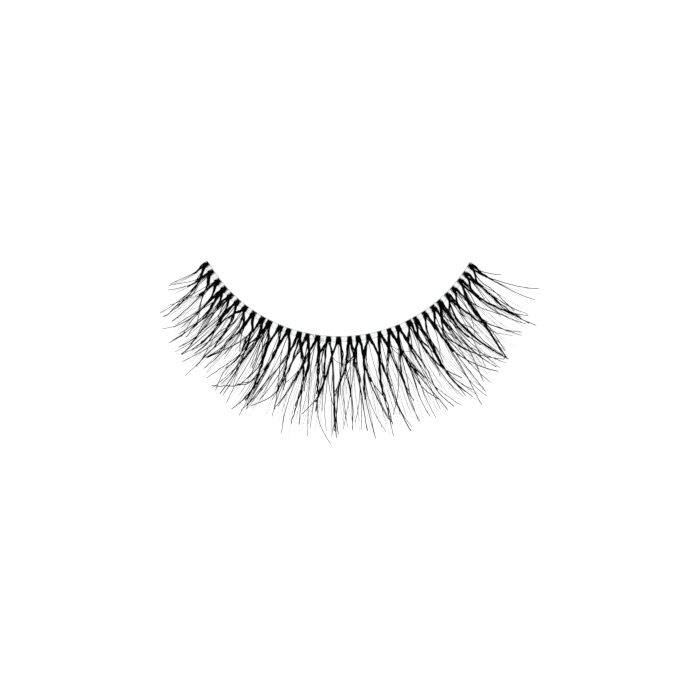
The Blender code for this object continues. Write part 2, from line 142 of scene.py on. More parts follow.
# Strands, one by one: the tuft, the fibres in the strand, their thickness as a share of a full one,
# the reach in mm, and the place in pitches at the four quarters of that reach.
# Some hook at the tip, some cross their neighbours, some run together into one dark point.
STRANDS = (
    (1, 1, 0.60, 4.1, (-16.05, -16.08, -16.18, -16.20)),
    (1, 2, 0.88, 6.6, (-15.10, -14.55, -14.32, -14.20)),
    (1, 1, 0.74, 2.0, (-15.90, -15.65, -15.45, -15.25)),
    (1, 1, 0.82, 1.6, (-15.85, -15.62, -15.42, -15.32)),
    (1, 2, 0.95, 1.6, (-16.15, -16.08, -16.05, -16.04)),
    (2, 1, 0.88, 2.8, (-15.32, -15.25, -15.27, -15.30)),
    (2, 1, 0.60, 4.3, (-15.38, -15.60, -15.90, -16.18)),
    (2, 1, 0.60, 4.6, (-15.30, -15.35, -15.60, -15.92)),
    (2, 1, 0.64, 6.7, (-15.05, -14.72, -14.60, -14.55)),
    (2, 1, 0.81, 6.2, (-14.12, -13.85, -13.70, -13.60)),
    (2, 1, 0.74, 3.8, (-14.35, -13.95, -13.35, -12.80)),
    (2, 1, 0.82, 1.2, (-14.90, -14.60, -14.30, -14.05)),
    (2, 1, 0.68, 3.2, (-15.00, -14.90, -14.60, -14.32)),
    (3, 1, 0.88, 2.6, (-14.18, -14.15, -14.10, -14.12)),
    (3, 1, 0.88, 6.5, (-13.15, -12.98, -12.95, -13.15)),
    (3, 1, 0.64, 7.6, (-13.10, -12.95, -13.05, -13.50)),
    (3, 1, 0.67, 2.4, (-13.75, -13.45, -13.15, -13.02)),
    (3, 1, 0.80, 1.8, (-13.92, -13.62, -13.32, -13.10)),
    (3, 1, 0.72, 4.4, (-14.00, -13.72, -12.98, -12.35)),
    (4, 2, 0.95, 3.4, (-13.12, -12.75, -12.48, -12.32)),
    (4, 2, 0.81, 6.3, (-12.75, -12.35, -12.28, -12.05)),
    (4, 1, 0.67, 8.0, (-12.60, -12.40, -12.32, -12.38)),
    (4, 1, 0.67, 6.6, (-13.02, -12.92, -12.68, -12.25)),
    (4, 1, 0.60, 5.9, (-12.80, -12.95, -13.10, -13.25)),
    (4, 2, 0.95, 2.4, (-13.05, -12.85, -12.65, -12.50)),
    (5, 1, 0.88, 7.6, (-12.05, -11.72, -11.60, -11.80)),
    (5, 1, 0.81, 2.4, (-12.10, -11.95, -11.75, -11.50)),
    (5, 1, 0.67, 5.3, (-12.22, -12.18, -12.02, -11.60)),
    (5, 1, 0.64, 7.7, (-11.60, -11.62, -11.52, -11.22)),
    (5, 1, 0.66, 8.0, (-12.05, -11.80, -11.45, -11.28)),
    (5, 1, 0.62, 6.6, (-11.95, -12.15, -12.40, -12.52)),
    (6, 2, 0.95, 6.2, (-11.28, -11.05, -10.95, -11.10)),
    (6, 1, 0.74, 3.2, (-11.38, -11.45, -11.35, -11.15)),
    (6, 2, 0.88, 5.0, (-10.60, -10.28, -10.15, -10.05)),
    (6, 1, 0.67, 9.6, (-10.25, -10.06, -10.05, -10.05)),
    (6, 1, 0.64, 8.2, (-11.35, -11.50, -11.52, -11.72)),
    (6, 1, 0.66, 8.0, (-10.95, -10.98, -10.98, -11.28)),
    (6, 1, 0.95, 1.6, (-11.25, -11.28, -11.22, -11.18)),
    (7, 1, 0.88, 6.9, (-10.88, -10.90, -10.66, -10.80)),
    (7, 1, 0.74, 6.6, (-9.55, -9.52, -9.62, -9.98)),
    (7, 1, 0.67, 7.7, (-9.55, -9.45, -9.38, -9.55)),
    (7, 1, 0.60, 8.6, (-10.05, -10.15, -10.50, -10.88)),
    (7, 1, 0.60, 7.4, (-10.20, -10.62, -10.38, -10.05)),
    (7, 1, 0.68, 5.2, (-9.62, -9.60, -9.58, -9.55)),
    (7, 1, 0.62, 8.0, (-9.70, -9.85, -10.10, -10.02)),
    (8, 2, 0.95, 2.4, (-9.20, -9.20, -9.24, -9.15)),
    (8, 1, 0.67, 5.0, (-9.25, -9.15, -9.12, -9.15)),
    (8, 1, 0.74, 6.4, (-9.30, -9.45, -9.58, -9.98)),
    (8, 2, 0.91, 4.8, (-8.45, -8.12, -7.95, -8.15)),
    (8, 1, 0.74, 9.1, (-8.12, -8.12, -8.35, -8.02)),
    (8, 1, 0.74, 4.0, (-9.15, -9.05, -8.68, -8.25)),
    (8, 2, 0.95, 1.9, (-9.12, -9.18, -9.20, -9.20)),
    (9, 2, 0.88, 3.8, (-8.15, -8.45, -8.35, -8.22)),
    (9, 1, 0.81, 6.4, (-8.35, -8.78, -9.40, -9.95)),
    (9, 1, 0.95, 9.2, (-7.42, -7.60, -7.65, -7.70)),
    (9, 2, 0.88, 5.9, (-7.50, -7.95, -7.82, -7.76)),
    (9, 1, 0.67, 8.5, (-8.00, -8.12, -8.60, -8.98)),
    (9, 1, 0.67, 8.2, (-7.60, -7.90, -7.80, -8.00)),
    (9, 1, 0.88, 6.3, (-8.28, -8.22, -8.12, -8.42)),
    (9, 1, 0.62, 9.2, (-7.62, -7.70, -7.55, -7.48)),
    (10, 2, 0.95, 4.4, (-6.78, -6.50, -6.42, -6.45)),
    (10, 1, 0.81, 5.0, (-7.20, -7.05, -6.86, -6.75)),
    (10, 1, 0.74, 3.6, (-7.20, -7.08, -6.70, -6.45)),
    (10, 1, 0.64, 9.8, (-7.28, -7.22, -7.20, -7.06)),
    (10, 1, 0.74, 7.3, (-6.80, -6.72, -6.62, -6.95)),
    (10, 1, 0.66, 5.0, (-7.05, -7.10, -7.02, -6.95)),
    (10, 2, 0.95, 1.5, (-7.38, -7.45, -7.50, -7.48)),
    (11, 2, 0.95, 8.6, (-6.48, -6.22, -6.05, -6.12)),
    (11, 1, 0.74, 10.2, (-6.40, -6.15, -6.12, -6.55)),
    (11, 1, 0.67, 10.6, (-6.40, -6.10, -6.02, -5.95)),
    (11, 2, 0.81, 8.7, (-6.45, -6.20, -6.50, -8.50)),
    (11, 1, 0.88, 6.2, (-6.45, -6.30, -6.42, -6.70)),
    (12, 2, 0.95, 5.4, (-5.55, -5.60, -5.74, -5.92)),
    (12, 1, 0.95, 9.1, (-5.60, -5.82, -6.05, -6.32)),
    (12, 2, 0.88, 6.6, (-4.48, -4.38, -4.28, -4.42)),
    (12, 1, 0.81, 9.0, (-4.48, -4.30, -4.50, -5.62)),
    (12, 1, 0.67, 8.5, (-5.08, -4.72, -4.40, -4.10)),
    (12, 1, 0.64, 9.2, (-5.55, -5.80, -5.95, -5.90)),
    (12, 1, 0.62, 9.6, (-5.70, -5.72, -5.82, -5.78)),
    (13, 1, 0.88, 9.0, (-4.45, -5.10, -5.58, -5.90)),
    (13, 1, 0.67, 8.0, (-4.42, -4.62, -4.95, -5.32)),
    (13, 2, 0.95, 6.1, (-3.95, -3.98, -4.15, -4.00)),
    (13, 2, 0.95, 4.6, (-3.60, -3.20, -2.90, -2.70)),
    (13, 2, 0.95, 9.7, (-3.10, -2.75, -2.85, -2.90)),
    (13, 1, 0.67, 9.4, (-3.95, -4.12, -4.20, -4.12)),
    (14, 3, 0.88, 5.8, (-2.75, -2.56, -2.66, -2.66)),
    (14, 1, 0.81, 9.8, (-2.60, -2.70, -2.58, -2.40)),
    (14, 1, 0.67, 11.2, (-3.02, -3.38, -3.45, -3.25)),
    (14, 1, 0.74, 8.2, (-3.00, -3.32, -3.72, -4.12)),
    (14, 1, 0.92, 8.8, (-2.66, -2.70, -2.80, -2.84)),
    (15, 2, 0.81, 5.2, (-2.70, -3.00, -3.25, -3.60)),
    (15, 1, 0.67, 8.0, (-2.80, -3.20, -3.65, -4.05)),
    (15, 3, 0.95, 6.0, (-1.88, -1.70, -1.60, -1.50)),
    (15, 1, 0.88, 7.8, (-1.82, -1.66, -1.52, -1.50)),
    (15, 1, 0.64, 11.0, (-2.35, -2.20, -2.00, -1.80)),
    (16, 1, 0.81, 5.8, (-1.50, -1.42, -1.20, -1.35)),
    (16, 2, 0.88, 4.2, (-1.22, -1.24, -1.22, -1.08)),
    (16, 1, 0.98, 10.2, (-0.56, -0.42, -0.32, -0.20)),
    (16, 1, 0.95, 11.1, (-0.50, -0.36, -0.25, -0.14)),
    (16, 1, 0.67, 11.9, (-1.24, -1.48, -1.25, -0.42)),
    (16, 1, 0.60, 10.8, (-0.50, -0.36, -0.24, -0.42)),
    (16, 1, 0.64, 10.0, (-1.60, -1.75, -1.72, -1.72)),
    (16, 1, 0.88, 7.8, (-1.22, -1.15, -1.45, -1.52)),
    (17, 2, 0.88, 6.8, (-0.62, -0.95, -1.28, -1.60)),
    (17, 1, 0.67, 8.3, (-0.66, -1.08, -1.55, -2.35)),
    (17, 1, 0.60, 10.1, (-0.85, -0.92, -0.95, -0.76)),
    (17, 1, 0.60, 7.3, (-0.62, -0.85, -0.66, -0.30)),
    (17, 1, 0.91, 3.9, (0.22, 0.30, 0.16, 0.20)),
    (17, 1, 0.91, 10.6, (0.20, 0.00, -0.14, -0.02)),
    (18, 2, 0.88, 6.2, (0.82, 0.52, 0.02, -0.38)),
    (18, 1, 0.88, 10.0, (0.60, -0.03, -0.13, -0.24)),
    (18, 1, 0.95, 6.1, (0.80, 0.52, 0.75, 0.82)),
    (18, 1, 0.67, 9.8, (0.60, 0.85, 0.92, 0.80)),
    (18, 2, 0.91, 4.6, (1.32, 1.34, 1.52, 1.62)),
    (18, 1, 0.88, 10.3, (1.35, 1.60, 1.66, 1.70)),
    (18, 1, 0.60, 9.6, (1.00, 0.32, 0.40, 0.50)),
    (18, 1, 0.64, 10.2, (1.35, 1.58, 1.50, 1.30)),
    (19, 1, 0.81, 5.6, (1.60, 1.50, 1.60, 1.55)),
    (19, 2, 0.95, 6.6, (2.15, 2.08, 1.90, 1.90)),
    (19, 1, 0.81, 11.5, (2.12, 1.90, 1.96, 2.05)),
    (19, 1, 0.81, 6.5, (2.18, 2.18, 2.60, 3.12)),
    (19, 1, 0.67, 9.7, (2.15, 2.58, 2.85, 3.20)),
    (19, 1, 0.60, 10.8, (2.10, 2.02, 2.30, 2.72)),
    (19, 1, 0.60, 9.0, (1.60, 1.62, 1.38, 1.00)),
    (19, 1, 0.66, 9.3, (2.20, 2.35, 2.72, 3.10)),
    (20, 2, 0.95, 3.2, (2.62, 2.38, 2.22, 2.15)),
    (20, 1, 0.88, 4.6, (2.52, 2.20, 2.22, 2.50)),
    (20, 2, 0.95, 5.6, (3.42, 3.56, 3.72, 3.90)),
    (20, 1, 0.81, 11.4, (3.56, 3.78, 3.94, 4.10)),
    (20, 1, 0.66, 9.0, (2.42, 2.40, 2.74, 3.08)),
    (21, 3, 0.95, 6.8, (3.68, 3.35, 3.18, 3.16)),
    (21, 2, 0.88, 9.9, (3.52, 3.18, 3.22, 3.20)),
    (21, 1, 0.67, 11.5, (3.45, 3.15, 3.20, 3.10)),
    (21, 1, 0.81, 5.8, (4.46, 4.62, 4.80, 4.85)),
    (21, 1, 0.64, 10.5, (4.58, 4.78, 4.76, 4.80)),
    (21, 1, 0.64, 10.9, (3.72, 3.80, 3.95, 4.28)),
    (22, 1, 0.81, 4.8, (4.60, 4.22, 3.92, 3.78)),
    (22, 1, 0.67, 9.4, (4.35, 3.80, 3.80, 3.98)),
    (22, 3, 0.91, 6.0, (5.52, 5.62, 5.92, 6.22)),
    (22, 1, 0.81, 10.4, (5.55, 6.02, 6.38, 6.58)),
    (22, 1, 0.60, 2.8, (4.72, 4.78, 5.05, 5.35)),
    (22, 1, 0.66, 8.8, (4.62, 4.65, 4.15, 3.42)),
    (22, 1, 0.64, 10.4, (4.80, 4.82, 4.85, 4.78)),
    (23, 2, 0.88, 7.8, (5.50, 5.00, 4.86, 4.95)),
    (23, 1, 0.74, 6.6, (5.62, 5.35, 5.18, 5.00)),
    (23, 2, 0.95, 4.6, (6.28, 6.36, 6.40, 6.44)),
    (23, 1, 0.88, 10.4, (6.50, 6.78, 6.66, 7.00)),
    (23, 1, 0.74, 7.9, (5.55, 5.68, 5.58, 5.45)),
    (23, 1, 0.67, 10.3, (5.60, 5.66, 5.46, 5.52)),
    (23, 1, 0.74, 8.8, (5.60, 5.72, 5.92, 6.52)),
    (23, 1, 0.64, 10.7, (5.75, 5.90, 5.82, 5.75)),
    (23, 1, 0.62, 10.0, (6.35, 6.42, 6.38, 6.24)),
    (24, 1, 0.88, 4.9, (6.86, 6.58, 6.74, 6.80)),
    (24, 2, 0.88, 5.8, (7.32, 7.40, 7.55, 7.85)),
    (24, 1, 0.88, 7.8, (7.34, 7.46, 7.84, 8.55)),
    (24, 2, 0.88, 4.2, (7.42, 7.55, 7.75, 7.92)),
    (24, 1, 0.60, 3.6, (7.25, 7.25, 7.10, 6.90)),
    (24, 1, 0.60, 9.8, (7.40, 7.55, 7.62, 7.82)),
    (25, 3, 0.95, 6.0, (8.08, 8.15, 7.95, 7.86)),
    (25, 1, 0.95, 9.4, (8.10, 7.98, 7.92, 8.12)),
    (25, 1, 0.74, 9.6, (8.05, 7.92, 8.05, 8.50)),
    (25, 1, 0.74, 9.8, (8.00, 7.95, 7.98, 8.00)),
    (25, 1, 0.64, 10.3, (8.00, 7.90, 8.02, 8.32)),
    (26, 1, 0.81, 5.2, (8.55, 8.30, 8.30, 8.12)),
    (26, 2, 0.98, 5.7, (9.24, 9.22, 9.25, 9.28)),
    (26, 1, 0.88, 9.6, (9.22, 9.25, 9.80, 10.52)),
    (26, 1, 0.74, 11.9, (9.20, 9.05, 8.72, 8.30)),
    (26, 1, 0.67, 11.3, (9.22, 8.98, 8.80, 8.86)),
    (26, 1, 0.60, 10.6, (9.20, 9.28, 9.20, 9.05)),
    (26, 1, 0.67, 4.0, (9.12, 9.05, 8.75, 8.50)),
    (27, 1, 1.00, 4.8, (10.22, 10.22, 10.12, 10.10)),
    (27, 1, 0.74, 9.5, (10.28, 10.32, 9.92, 9.42)),
    (27, 1, 0.67, 10.0, (9.55, 9.60, 9.66, 9.70)),
    (28, 2, 0.91, 3.8, (10.45, 9.85, 9.48, 9.30)),
    (28, 1, 0.95, 6.2, (10.00, 9.55, 9.92, 10.35)),
    (28, 1, 0.74, 8.9, (9.80, 9.82, 10.50, 11.42)),
    (28, 2, 0.95, 4.6, (10.92, 10.90, 10.82, 10.86)),
    (28, 1, 0.88, 6.0, (10.92, 10.82, 10.92, 11.10)),
    (28, 1, 0.74, 3.2, (10.48, 10.56, 10.68, 10.80)),
    (28, 1, 0.60, 9.4, (10.70, 10.68, 10.75, 10.80)),
    (28, 1, 0.67, 9.0, (10.42, 10.36, 10.42, 10.70)),
    (28, 1, 0.62, 9.0, (10.70, 10.45, 10.48, 10.66)),
    (29, 2, 0.88, 3.0, (11.75, 11.42, 11.20, 11.12)),
    (29, 1, 0.95, 9.2, (11.22, 11.18, 11.34, 11.57)),
    (29, 1, 0.90, 9.0, (11.30, 11.24, 11.39, 11.54)),
    (29, 1, 0.67, 5.0, (11.55, 11.12, 11.50, 11.66)),
    (29, 2, 0.88, 5.0, (12.12, 12.26, 12.34, 12.52)),
    (29, 1, 0.67, 8.4, (11.82, 11.60, 11.48, 11.56)),
    (30, 1, 0.88, 4.8, (13.10, 12.85, 12.56, 12.70)),
    (30, 1, 0.67, 8.5, (13.05, 12.60, 12.95, 13.32)),
    (30, 1, 0.67, 8.3, (13.00, 12.62, 12.98, 13.56)),
    (30, 1, 0.60, 7.7, (12.60, 12.35, 12.45, 13.02)),
    (30, 1, 0.67, 6.0, (13.10, 13.25, 13.60, 13.90)),
    (31, 1, 1.00, 9.2, (13.00, 12.45, 11.95, 11.56)),
    (31, 1, 0.88, 9.1, (13.06, 12.54, 12.00, 11.55)),
    (31, 1, 0.81, 8.3, (13.02, 12.70, 12.35, 11.90)),
    (31, 2, 0.88, 8.2, (13.95, 14.10, 14.36, 14.24)),
    (31, 1, 0.74, 9.0, (13.96, 14.18, 14.34, 14.38)),
    (31, 1, 0.74, 3.0, (13.92, 13.74, 13.46, 13.30)),
    (31, 1, 0.67, 8.0, (13.88, 13.80, 13.94, 14.16)),
    (31, 1, 0.84, 9.0, (13.12, 12.60, 12.05, 11.60)),
    (32, 2, 0.95, 6.4, (14.92, 14.72, 14.48, 14.36)),
    (32, 1, 0.81, 7.7, (14.90, 14.60, 14.36, 14.75)),
    (32, 1, 0.67, 3.0, (14.82, 14.62, 14.40, 14.18)),
    (32, 1, 0.64, 7.6, (14.90, 14.76, 14.76, 14.85)),
    (33, 1, 0.79, 6.2, (15.30, 15.20, 14.88, 14.58)),
    (33, 2, 0.88, 2.6, (15.90, 15.90, 15.90, 15.92)),
    (33, 1, 0.76, 7.4, (15.92, 15.95, 15.92, 15.95)),
    (33, 1, 0.76, 7.2, (15.95, 16.20, 16.48, 16.80)),
    (33, 1, 0.76, 3.1, (16.05, 16.15, 16.38, 16.66)),
)

# Bent hairs that turn back or run across their neighbours: the tuft, the thickness, the layer,
# then the reach in mm and the place in pitches at five points.
ARCS = (
    (16, 0.50, 1.2, (1.10, 1.80, 2.30, 2.60, 2.10), (-0.75, -0.60, -0.20, 0.50, 1.30)),
    (13, 0.50, 0.9, (0.20, -0.10, -0.28, -0.12, 0.12), (-3.10, -2.98, -2.80, -2.62, -2.42)),
    (15, 0.40, 0.9, (0.60, 0.15, -0.10, 0.10, 0.55), (-1.85, -1.72, -1.62, -1.56, -1.60)),
    (22, 0.50, 1.2, (0.90, 1.60, 2.20, 2.60, 2.90), (4.62, 4.90, 5.40, 6.00, 6.70)),
    (7, 0.45, 1.2, (1.00, 1.80, 2.30, 2.50, 2.40), (-9.80, -9.50, -9.05, -8.55, -8.05)),
    (18, 1.10, 1.2, (1.60, 1.95, 2.20, 2.50, 2.75), (1.35, 1.18, 0.92, 0.68, 0.50)),
)

# Fibres at the root of a leg, and loose hairs, with chance from a fixed seed
CHANCE_SEED = 41
TREE_SEED = 100
ROOT_FIBRES = 3
ROOT_SPACING = 0.105 * MM     # between them where they leave the knot
ROOT_CLOSING = 0.35           # share of that spacing left at their tips
ROOT_REACH = (0.9 * MM, 2.9 * MM)
ROOT_SIZE = 1.00              # their thickness as a share of a full one
LOCK_SIZE = 0.26              # thickness of the hair down the middle of each lock
LOCK_STRAY = 0.35             # greatest wander of its tip, as a share of the room
LOCK_CLOSE = 0.05 * MM        # between the three at their knot
PARTING = (1.0 * MM, 2.4 * MM)  # reach at which they start to part
PARTED = (4.4 * MM, 6.8 * MM)   # and reach at which they are apart
LOOSE_HAIRS = 1               # hairs of a tuft that run apart from its legs, not at the ends
LOOSE_SIZE = 0.55             # their thickness as a share of a full one
LOOSE_LEAN = 1.6              # greatest lean of such a hair at its tip, in pitches
LOOSE_REACH = (0.5, 1.05)     # its reach as a share of its legs' reach
LOOSE_BEND = (0.65, 1.8)      # power of its path, which leans early below 1 and late above
LOOSE_ROOT = 0.3              # how far from its knot's middle it starts, in knot widths
LOOSE_LAYER = (0.1, 1.1)
STRAND_START = 0.14 * MM      # how far beside the knot's middle a strand starts
QUARTERS = (0.25, 0.5, 0.75, 1.0)
FULL_CRIMP = 1.0              # crimp of the root fibres and of strands with several fibres
LONE_CRIMP = 0.2              # crimp of a strand with one fibre

# Clear film: places across and up its section, as shares of half its width and of its thickness,
# then how much denser its rim looks there
FILM_SECTION = (
    (-1.00, 0.00, 2.6), (-0.50, 0.00, 0.0), (0.50, 0.00, 0.0), (1.00, 0.00, 0.6),
    (1.00, 0.80, 0.6), (0.90, 1.00, 0.6), (0.78, 0.80, 0.3), (0.30, 0.62, 0.0),
    (-0.30, 0.62, 0.0), (-0.74, 0.80, 0.4), (-0.86, 1.00, 2.6), (-1.00, 0.80, 2.6),
)
FILM_STEPS = 96
FILM_TIP_LENGTH = 0.35 * MM   # stretch over which each end narrows
FILM_TIP_SHARE = 0.45         # width left at the very end
FILM_UNEVEN = 0.20            # how much its opacity differs from place to place
RIM_OPACITY = 0.16            # what a rim of density 1 adds to it

# Clear thread between the knots
THREAD_RADIUS = 0.028 * MM
THREAD_REACH = 0.10 * MM
THREAD_SLACK = 0.14 * MM
THREAD_UNEVEN = 0.4           # how much the slack differs from gap to gap
THREAD_BEAT = 2.3             # radians from one gap to the next in that difference
THREAD_LIFT = 1.6             # its middle above the film, in radii
THREAD_STEPS = 8              # sections from knot to knot
THREAD_SIDES = 6
THREAD_DENSITY = 1.2          # how much milkier than the middle of the film it is

# Guides, windings and the core that they are wound on
GUIDE_POINTS = 18
GUIDE_START = 0.10 * MM       # reach at which a fibre leaves the inside of its knot
FIBRE_SIDES = 5
CORE_SHARE = 0.84             # solid core of a knot as a share of its full size
CORE_SIDES = 10
CORE_ROWS = ((-1.0, 0.55), (-0.8, 0.86), (-0.3, 1.0), (0.4, 1.0), (0.85, 0.84), (1.0, 0.5))
RADIAL_LOOPS = 5
RADIAL_SPAN = 0.86            # share of the knot's width that they cover
RADIAL_UPRIGHT = 0.90         # their height as a share of the knot's
BINDING_PLACES = (0.10, 0.27)  # across-the-knot windings, as shares of the depth from its middle
BINDING_UPRIGHT = 0.98
LOOP_POINTS = 14
LOOP_SQUARE = 0.62            # below 1 squares a winding toward an oblong

# Shape of a fibre, along its length from 0 to 1
OPENING_START = 0.30          # where the fibres of a strand start to part
WAVE_TURNS = 1.1              # swings of the slow wave along a fibre
CRIMP_GROWTH = 4.0            # the crimp is full from one quarter on
TIP_POWER = 3.0               # the higher, the later a fibre thins

# Inputs of the node tree that come from the settings, and the setting of each
TREE_SETTINGS = (
    ("Section Length", "section_length"),
    ("Fibre Spacing", "fibre_spacing"),
    ("Strand Thickness", "strand_thickness"),
    ("Fan", "fan"),
    ("Wave", "wave"),
    ("Crimp", "crimp"),
    ("Crimp Length", "crimp_length"),
    ("Shortening", "shortening"),
    ("Root Radius", "fibre_root"),
    ("Tip Share", "fibre_tip"),
    ("Winding Radius", "winding"),
)

# Stage: a pale floor, whose own glow takes away the shade between the lashes
WHITE = (1.0, 1.0, 1.0, 1.0)
FLOOR_TONE = (0.40, 0.40, 0.40, 1.0)
FLOOR_GLOW = 0.72
FLOOR_REACH = 1.5
WORLD_STRENGTH = 1.04
LAMP_SIZE = 0.6
LAMP_POWER = 2.0
LAMP_PLACE = (0.0, 0.12, 0.6)
LAMP_TILT = -11.0

# Camera
CAMERA_ELEVATION = 75.0
CAMERA_DISTANCE = 0.34
FRAME_WIDTH = 70.0 * MM
SENSOR_WIDTH = 36.0
AIM_STATION_X = 1.1 * MM      # what the middle of the picture looks at, from the middle knot
AIM_REACH_Y = -0.98 * MM


def on_strip(station, reach, height):
    """Point at a place along the knot line, a reach outward from it and a height."""
    angle = station / LINE_RADIUS
    radius = LINE_RADIUS + reach
    x = LINE_SHIFT_X + radius * math.sin(angle)
    y = LINE_SHIFT_Y + LINE_RADIUS - radius * math.cos(angle)
    return Vector((x, y, height))


def smooth(share):
    """Ease from 0 to 1."""
    share = min(1.0, max(0.0, share))
    return share * share * (3.0 - 2.0 * share)


def squared(turn):
    """Place on a round that is squared toward an oblong, across and up."""
    return [
        math.copysign(abs(side) ** LOOP_SQUARE, side) for side in (math.cos(turn), math.sin(turn))
    ]


def follow(places, values, at):
    """Smooth curve through the values at the places, straight on beyond both ends."""
    last = len(places) - 1
    slopes = []
    for index in range(last + 1):
        before = max(0, index - 1)
        after = min(last, index + 1)
        slopes.append((values[after] - values[before]) / (places[after] - places[before]))
    if at <= places[0]:
        return values[0] + slopes[0] * (at - places[0])
    if at >= places[last]:
        return values[last] + slopes[last] * (at - places[last])
    index = max(k for k in range(last) if places[k] <= at)
    run = places[index + 1] - places[index]
    share = (at - places[index]) / run
    ease = smooth(share)
    pull = share * (1.0 - share) * run
    start = slopes[index] * (1.0 - share) * pull
    end = slopes[index + 1] * share * pull
    return values[index] * (1.0 - ease) + values[index + 1] * ease + start - end


def curl_height(reach, root_height, belly_height):
    """Height of a lash: down from its knot to the belly, then up an arc to the tip."""
    if reach < BELLY_REACH:
        start = KNOT_DEPTH / 2
        share = min(1.0, (BELLY_REACH - reach) / (BELLY_REACH - start))
        return belly_height + (root_height - belly_height) * share * share
    sine = min(0.95, (reach - BELLY_REACH) / CURL_RADIUS)
    return belly_height + CURL_RADIUS * (1.0 - math.sqrt(1.0 - sine * sine))


def leg_station(number, side, reach):
    """Place of a leg of a tuft along the strip at some reach."""
    row = TUFTS[number]
    across = LEG_ROOT_ACROSS * KNOT_WIDTH
    reaches = [KNOT_DEPTH / 2] + [share * LASH_REACH for share in LEG_CHART]
    stations = [row[0] * KNOT_PITCH + (across if side == 1 else -across)]
    stations += [place * KNOT_PITCH for place in row[1 + side]]
    return follow(reaches, stations, max(reach, KNOT_DEPTH / 2))


def leg_room(number, side, reach):
    """Half the way to the same leg of the tuft before and of the tuft after."""
    here = leg_station(number, side, reach)
    rooms = []
    for other in (number - 1, number + 1):
        if 0 <= other < len(TUFTS):
            rooms.append(abs(leg_station(other, side, reach) - here) / 2)
        else:
            rooms.append(KNOT_PITCH / 2)
    return rooms


def layer_height(reach, layer):
    """Height of a hair at a reach: layer 0 is the lower legs' and 1 the upper legs'."""
    root_share = LEG_ROOT_LOW + (LEG_ROOT_HIGH - LEG_ROOT_LOW) * layer
    root_height = BAND_THICKNESS + KNOT_CLEARANCE + KNOT_HEIGHT * root_share
    belly = FLOOR_CLEARANCE + LEG_THICKNESS / 2 + LAYER_RISE * layer
    return curl_height(reach, root_height, belly)


def trace(end, layer, station_at):
    """Guide from inside a knot to its end. station_at takes the share of the way and the reach."""
    points = []
    for step in range(GUIDE_POINTS):
        share = step / (GUIDE_POINTS - 1)
        reach = GUIDE_START + (end - GUIDE_START) * share
        points.append(on_strip(station_at(share, reach), reach, layer_height(reach, layer)))
    return points


def root_path(number, side, member, chance):
    """One of the stout fibres that make the root of a leg."""
    end = chance.uniform(*ROOT_REACH)
    place = member - (ROOT_FIBRES - 1) / 2

    def station_at(share, reach):
        """Beside the middle of the leg, and closer to it toward the tip."""
        offset = place * ROOT_SPACING * (1.0 - (1.0 - ROOT_CLOSING) * share)
        return leg_station(number, side, reach) + offset

    return trace(end, side, station_at)


def lock_path(number, side, lock, chance):
    """The hair down the middle of one lock, from inside its knot to its tip."""
    reach_shares = LOCK_REACHES[(number + side) % len(LOCK_REACHES)]
    end = TUFTS[number][4 + side] * LASH_REACH * reach_shares[lock]
    spread = LOCK_SPREAD[lock] + chance.uniform(-1.0, 1.0) * LOCK_STRAY
    parting = chance.uniform(*PARTING)
    parted = chance.uniform(*PARTED)

    def station_at(_, reach):
        """With the leg at first, then apart from it within the leg's room."""
        rooms = leg_room(number, side, reach)
        goal = spread * (rooms[0] if spread < 0 else rooms[1])
        eased = smooth((reach - parting) / (parted - parting))
        offset = (lock - 1) * LOCK_CLOSE * (1.0 - eased) + goal * eased
        return leg_station(number, side, reach) + offset

    return trace(end, side, station_at)


def strand_path(number, end, places):
    """A strand from its knot through its charted places."""
    knot = TUFTS[number][0] * KNOT_PITCH
    side = 1 if places[0] * KNOT_PITCH > knot else 0
    start = knot + (STRAND_START if side else -STRAND_START)
    reaches = [GUIDE_START] + [share * end for share in QUARTERS]
    stations = [start] + [place * KNOT_PITCH for place in places]
    return trace(end, side, lambda _, reach: follow(reaches, stations, reach))


def arc_path(reaches, places, layer):
    """A bent hair through its charted points, which needn't run outward all the way."""
    marks = range(len(reaches))
    points = []
    for step in range(GUIDE_POINTS):
        at = step / (GUIDE_POINTS - 1) * (len(reaches) - 1)
        reach = follow(marks, reaches, at) * MM
        station = follow(marks, places, at) * KNOT_PITCH
        points.append(on_strip(station, reach, layer_height(max(reach, KNOT_DEPTH / 2), layer)))
    return points


def loose_path(number, chance):
    """A single hair that leans its own way between or beside the legs."""
    row = TUFTS[number]
    end = (row[4] + row[5]) / 2 * LASH_REACH * chance.uniform(*LOOSE_REACH)
    goal = leg_station(number, chance.choice((0, 1)), end)
    goal += chance.uniform(-LOOSE_LEAN, LOOSE_LEAN) * KNOT_PITCH * end / LASH_REACH
    bend = chance.uniform(*LOOSE_BEND)
    start = row[0] * KNOT_PITCH + chance.uniform(-LOOSE_ROOT, LOOSE_ROOT) * KNOT_WIDTH
    layer = chance.uniform(*LOOSE_LAYER)
    return trace(end, layer, lambda share, _: start + (goal - start) * share ** bend)


def knot_loop(knot, width, along, across, upright):
    """Closed winding about a knot: upright and radial, or across it at a depth."""
    middle = BAND_THICKNESS + KNOT_CLEARANCE + KNOT_HEIGHT / 2
    points = []
    for step in range(LOOP_POINTS):
        out, rise = squared(2.0 * math.pi * step / LOOP_POINTS)
        height = middle + rise * KNOT_HEIGHT * upright / 2
        if across is None:
            points.append(on_strip(knot + out * width / 2, along, height))
        else:
            points.append(on_strip(knot + across, out * KNOT_DEPTH / 2 * upright, height))
    return points


